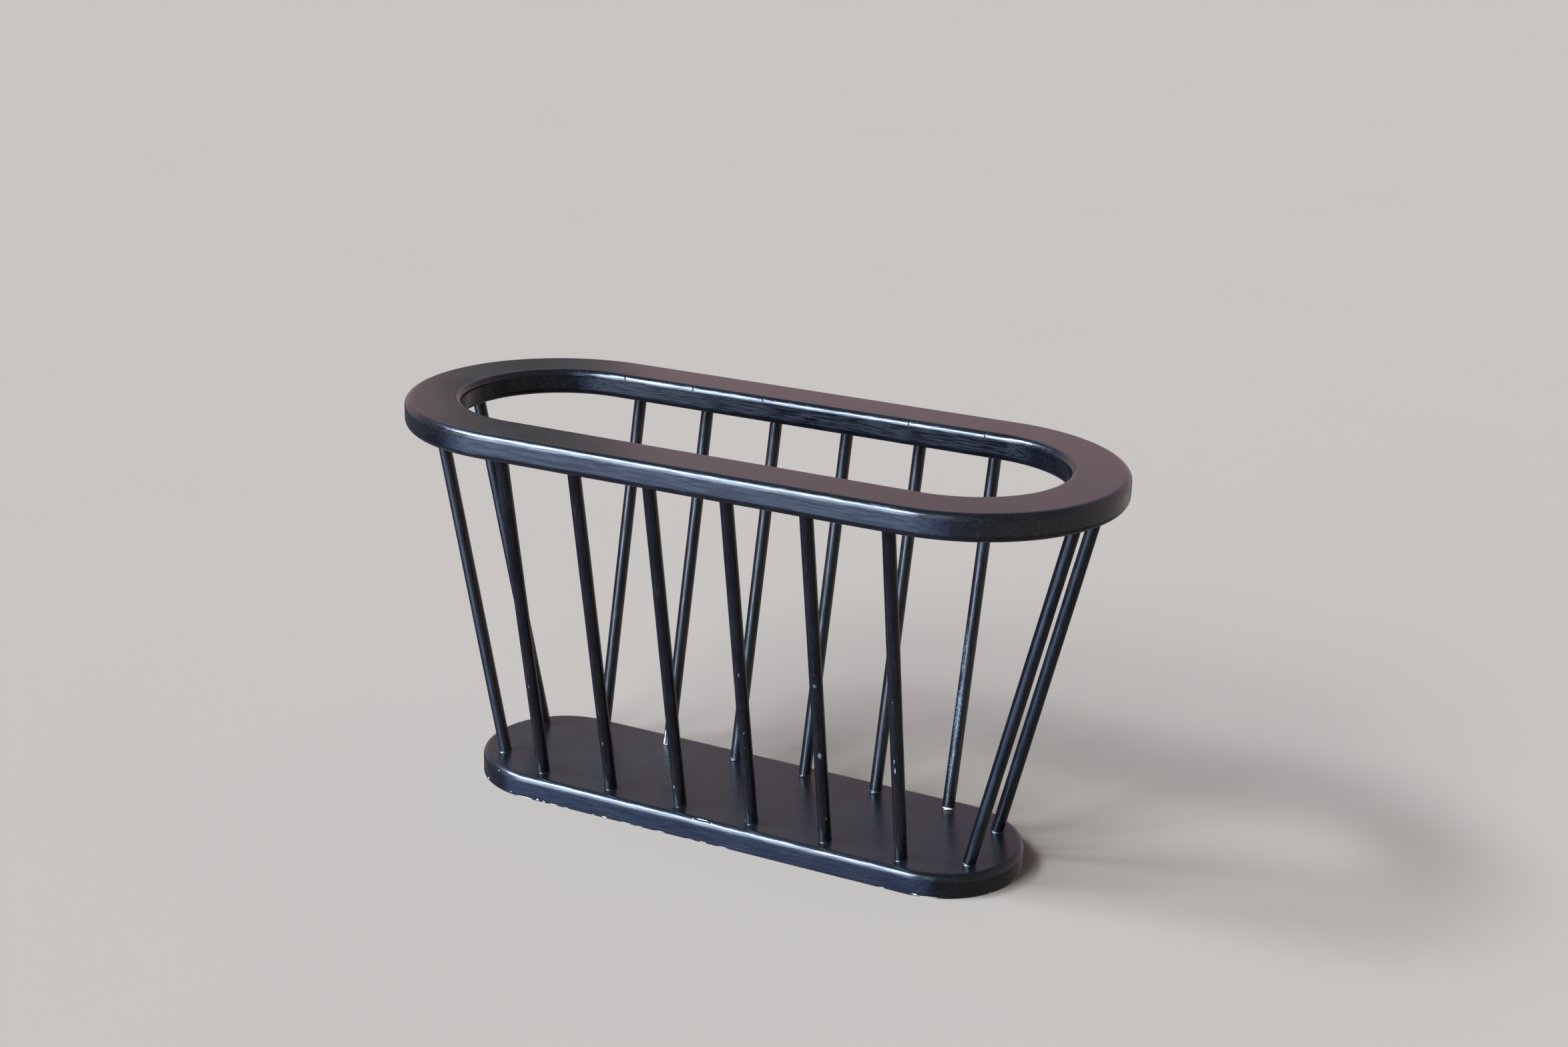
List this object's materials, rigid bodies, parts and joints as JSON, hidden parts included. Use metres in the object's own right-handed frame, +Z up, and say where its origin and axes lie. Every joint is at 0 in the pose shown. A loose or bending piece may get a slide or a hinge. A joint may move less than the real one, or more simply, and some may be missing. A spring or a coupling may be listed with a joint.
{
  "type": "newspaper rack",
  "caption": "Open table rack for newspapers and magazines: a flat oval ring rail carried on slanting round spindles above a smaller oval base board.",
  "frame": {"origin": "centre of the base board's underside, on the table", "axes": "+Z up; +X along the rack's long side, towards its right end; -Y towards the front"},
  "size_m": [0.508, 0.2154, 0.28],
  "materials": {
    "ring_paint": "satin black paint on wood, with fine grain showing through",
    "base_paint": "satin black paint on wood, chipped to pale wood along the lower edge",
    "spindle_paint": "satin black paint on turned wood, with small pale chips"
  },
  "bodies": {
    "root": {"top_ring": "ring_paint", "base_board": "base_paint", "front_spindle_1": "spindle_paint", "front_spindle_2": "spindle_paint", "front_spindle_3": "spindle_paint", "front_spindle_4": "spindle_paint", "front_spindle_5": "spindle_paint", "front_spindle_6": "spindle_paint", "back_spindle_1": "spindle_paint", "back_spindle_2": "spindle_paint", "back_spindle_3": "spindle_paint", "back_spindle_4": "spindle_paint", "back_spindle_5": "spindle_paint", "back_spindle_6": "spindle_paint", "left_end_spindle_front": "spindle_paint", "left_end_spindle_back": "spindle_paint", "right_end_spindle_front": "spindle_paint", "right_end_spindle_back": "spindle_paint"}
  },
  "joints": []
}
